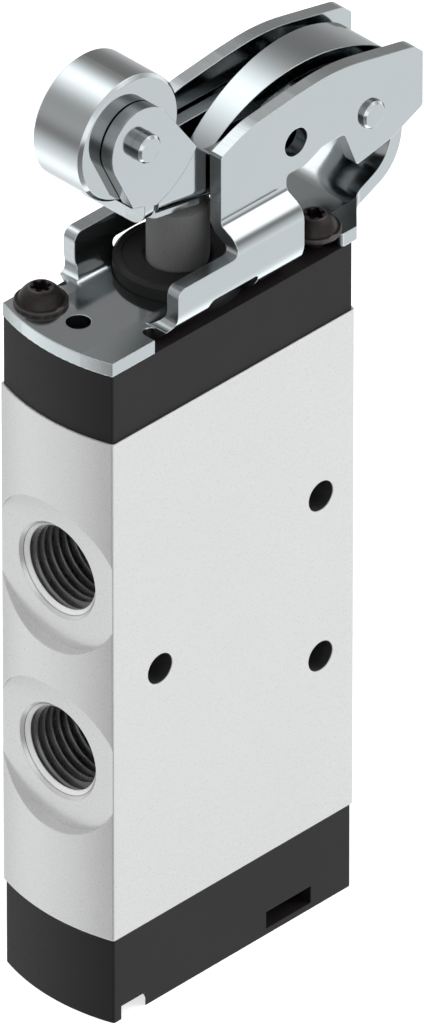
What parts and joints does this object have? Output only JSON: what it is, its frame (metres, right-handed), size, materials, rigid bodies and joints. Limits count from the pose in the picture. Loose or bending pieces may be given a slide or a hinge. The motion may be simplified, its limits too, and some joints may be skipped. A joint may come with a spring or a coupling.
{
  "type": "roller lever air valve",
  "caption": "Five-port spool valve in a flat block with threaded ports, end caps and a roller lever on a stamped bracket that presses a plunger.",
  "frame": {"origin": "middle of the lower cap's bottom face", "axes": "+Z along the spool towards the lever, -Y out of the two work ports, X along the lever's pivot and the fixing holes"},
  "size_m": [0.0211, 0.0611, 0.1415],
  "materials": {
    "body": "light grey, fine blasted and anodised",
    "cap": "moulded black, fine grain",
    "seal": "moulded nitrile rubber",
    "cage": "moulded acetal",
    "spool": "ground and polished",
    "spring": "drawn stainless wire",
    "plunger": "turned dark grey acetal",
    "collar": "moulded black",
    "sheet": "bright plated pressed sheet, 2 mm",
    "lever_sheet": "bright plated pressed sheet, 2 mm",
    "pin": "ground pin",
    "roller": "turned and polished",
    "bush": "plain bearing bronze",
    "washer": "stamped shim",
    "screw": "blackened steel"
  },
  "bodies": {
    "valve": {"bottom_cap": "cap", "bottom_cap_screws": "screw", "bottom_cap_seal": "seal", "bracket": "sheet", "bracket_screws": "screw", "lower_guide_bush": "cage", "pivot_pin": "pin", "pivot_washer_left": "washer", "pivot_washer_right": "washer", "plunger_collar": "collar", "plunger_wiper": "seal", "return_spring": "spring", "spacer_cage_1": "cage", "spacer_cage_2": "cage", "spacer_cage_3": "cage", "spacer_cage_4": "cage", "spacer_cage_5": "cage", "spool_seal_1": "seal", "spool_seal_2": "seal", "spool_seal_3": "seal", "spool_seal_4": "seal", "spool_seal_5": "seal", "spool_seal_6": "seal", "top_cap": "cap", "top_cap_seal": "seal", "upper_guide_bush": "cage", "valve_body": "body"},
    "lever_arm": {"lever": "lever_sheet", "roller_axle": "pin", "roller_washer_left": "washer", "roller_washer_right": "washer"},
    "roller_wheel": {"roller": "roller", "roller_bush": "bush"},
    "spool_set": {"spool": "spool", "plunger": "plunger"}
  },
  "joints": [
    {"name": "lever_hinge", "type": "hinge", "parent": "valve", "child": "lever_arm", "pos_m": [0, 0.02785, 0.11833], "axis": [1, 0, 0], "range_deg": [0, 7.7], "stiffness_Nm_per_rad": 1.07, "springref_deg": -8.59},
    {"name": "roller_spin", "type": "hinge", "parent": "lever_arm", "child": "roller_wheel", "pos_m": [0, -0.01315, 0.1325], "axis": [1, 0, 0], "continuous": true},
    {"name": "spool_slide", "type": "slide", "parent": "valve", "child": "spool_set", "axis": [0, 0, -1], "range_m": [0, 0.0036], "deforming": ["return_spring"]}
  ],
  "couplings": [
    {"joint": "spool_slide", "follows": "lever_hinge", "m_per_rad": 0.026672}
  ]
}
